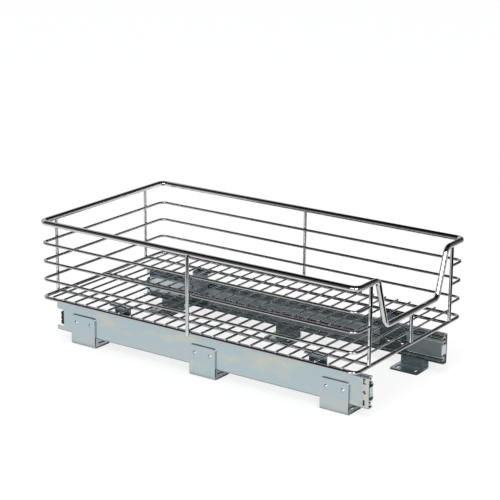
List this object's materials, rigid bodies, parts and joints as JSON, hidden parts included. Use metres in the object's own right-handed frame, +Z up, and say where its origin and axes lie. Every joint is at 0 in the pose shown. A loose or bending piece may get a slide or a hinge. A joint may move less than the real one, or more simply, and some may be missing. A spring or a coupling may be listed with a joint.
{
  "type": "pull-out cabinet basket",
  "caption": "Wire basket with a dipped front handle that pulls out of a cabinet on ball-bearing slides with screw-down foot brackets.",
  "frame": {"origin": "centre of the bounding box's footprint, on the plane of the feet's undersides", "axes": "+Z up, X across the basket, Y along the slides; the basket pulls out towards -Y, where its handle is"},
  "size_m": [0.2974, 0.5436, 0.1933],
  "materials": {
    "chrome": "bright chrome plate on round steel wire",
    "outer_zinc": "glossy blue-passivated zinc with faint yellow and pink tints",
    "middle_zinc": "blue-passivated zinc in shade",
    "inner_zinc": "blue-passivated zinc",
    "carrier_zinc": "blue-passivated zinc",
    "bracket_zinc": "glossy blue-passivated zinc with faint yellow and pink tints",
    "rivet_steel": "zinc-plated rivet heads",
    "cage_steel": "thin plated strip",
    "ball_steel": "polished bearing balls",
    "bumper_plastic": "black moulded plastic"
  },
  "bodies": {
    "base": {"left_outer_rail": "outer_zinc", "right_outer_rail": "outer_zinc", "left_bumper": "bumper_plastic", "right_bumper": "bumper_plastic", "left_front_bracket": "bracket_zinc", "left_middle_bracket": "bracket_zinc", "left_rear_bracket": "bracket_zinc", "right_front_bracket": "bracket_zinc", "right_middle_bracket": "bracket_zinc", "right_rear_bracket": "bracket_zinc", "bracket_rivets": "rivet_steel"},
    "basket": {"rim": "chrome", "upper_side_wire": "chrome", "middle_side_wire": "chrome", "lower_side_wire": "chrome", "floor_frame": "chrome", "floor_cross_wires": "chrome", "floor_stringers": "chrome", "left_front_post": "chrome", "right_front_post": "chrome", "left_side_post": "chrome", "right_side_post": "chrome", "left_rear_post": "chrome", "right_rear_post": "chrome", "grip_post": "chrome", "left_front_carrier": "carrier_zinc", "left_rear_carrier": "carrier_zinc", "right_front_carrier": "carrier_zinc", "right_rear_carrier": "carrier_zinc", "carrier_rivets": "rivet_steel", "left_inner_rail": "inner_zinc", "right_inner_rail": "inner_zinc"},
    "left_middle_slide": {"left_middle_rail": "middle_zinc"},
    "right_middle_slide": {"right_middle_rail": "middle_zinc"},
    "left_outer_ball_cage": {"left_outer_cage": "cage_steel", "left_outer_balls": "ball_steel"},
    "right_outer_ball_cage": {"right_outer_cage": "cage_steel", "right_outer_balls": "ball_steel"},
    "left_inner_ball_cage": {"left_inner_cage": "cage_steel", "left_inner_balls": "ball_steel"},
    "right_inner_ball_cage": {"right_inner_cage": "cage_steel", "right_inner_balls": "ball_steel"}
  },
  "joints": [
    {"name": "basket_slide", "type": "slide", "parent": "base", "child": "basket", "axis": [0, -1, 0], "range_m": [0, 0.5]},
    {"name": "left_middle_slide_run", "type": "slide", "parent": "base", "child": "left_middle_slide", "axis": [0, -1, 0], "range_m": [0, 0.25]},
    {"name": "left_outer_ball_cage_run", "type": "slide", "parent": "base", "child": "left_outer_ball_cage", "axis": [0, -1, 0], "range_m": [0, 0.125]},
    {"name": "left_inner_ball_cage_run", "type": "slide", "parent": "base", "child": "left_inner_ball_cage", "axis": [0, -1, 0], "range_m": [0, 0.375]},
    {"name": "right_middle_slide_run", "type": "slide", "parent": "base", "child": "right_middle_slide", "axis": [0, -1, 0], "range_m": [0, 0.25]},
    {"name": "right_outer_ball_cage_run", "type": "slide", "parent": "base", "child": "right_outer_ball_cage", "axis": [0, -1, 0], "range_m": [0, 0.125]},
    {"name": "right_inner_ball_cage_run", "type": "slide", "parent": "base", "child": "right_inner_ball_cage", "axis": [0, -1, 0], "range_m": [0, 0.375]}
  ],
  "couplings": [
    {"joint": "left_middle_slide_run", "follows": "basket_slide", "ratio": 0.5},
    {"joint": "left_outer_ball_cage_run", "follows": "basket_slide", "ratio": 0.25},
    {"joint": "left_inner_ball_cage_run", "follows": "basket_slide", "ratio": 0.75},
    {"joint": "right_middle_slide_run", "follows": "basket_slide", "ratio": 0.5},
    {"joint": "right_outer_ball_cage_run", "follows": "basket_slide", "ratio": 0.25},
    {"joint": "right_inner_ball_cage_run", "follows": "basket_slide", "ratio": 0.75}
  ]
}
